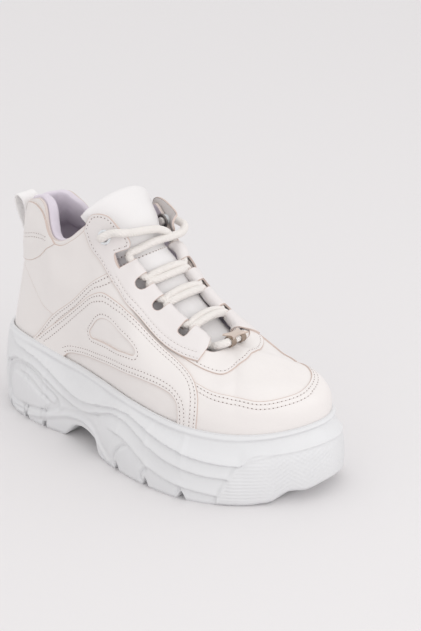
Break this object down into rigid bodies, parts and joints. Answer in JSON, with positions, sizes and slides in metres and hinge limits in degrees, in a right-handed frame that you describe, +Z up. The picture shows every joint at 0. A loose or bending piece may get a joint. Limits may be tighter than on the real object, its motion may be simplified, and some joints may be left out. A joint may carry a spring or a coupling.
{
  "type": "sneaker boot",
  "caption": "White mid-height lace-up sneaker boot for the right foot, hollow upper with padded collar on a thick lugged platform sole.",
  "frame": {"origin": "on the ground under the middle of the shoe's bounding box", "axes": "+X towards the toe, +Y towards the medial side, +Z up; the shoe stands on Z = 0"},
  "size_m": [0.2808, 0.1128, 0.175],
  "materials": {
    "sole_rubber": "cool white moulded foam rubber, satin",
    "upper_leather": "near white smooth leather, soft sheen",
    "eyestay_leather": "near white leather overlay with a raw tan edge",
    "tongue_leather": "near white padded leather",
    "lining_fabric": "lilac grey padded textile",
    "footbed": "lilac grey textile over foam",
    "loop_tape": "smooth white coated tape",
    "eyelet_enamel": "white painted metal",
    "lace_cord": "ivory round braided cord",
    "charm_metal": "champagne coloured metal"
  },
  "bodies": {
    "root": {"sole": "sole_rubber", "upper": "upper_leather", "insole": "footbed", "tongue": "tongue_leather", "collar_lining": "lining_fabric", "pull_loop": "loop_tape", "eyestay_lateral": "eyestay_leather", "eyestay_medial": "eyestay_leather", "eyelet_lateral": "eyelet_enamel", "eyelet_medial": "eyelet_enamel", "lace_crossing_1": "lace_cord", "lace_crossing_2": "lace_cord", "lace_crossing_3": "lace_cord", "lace_top": "lace_cord", "lace_bar": "lace_cord", "lace_charm": "charm_metal"}
  },
  "joints": []
}
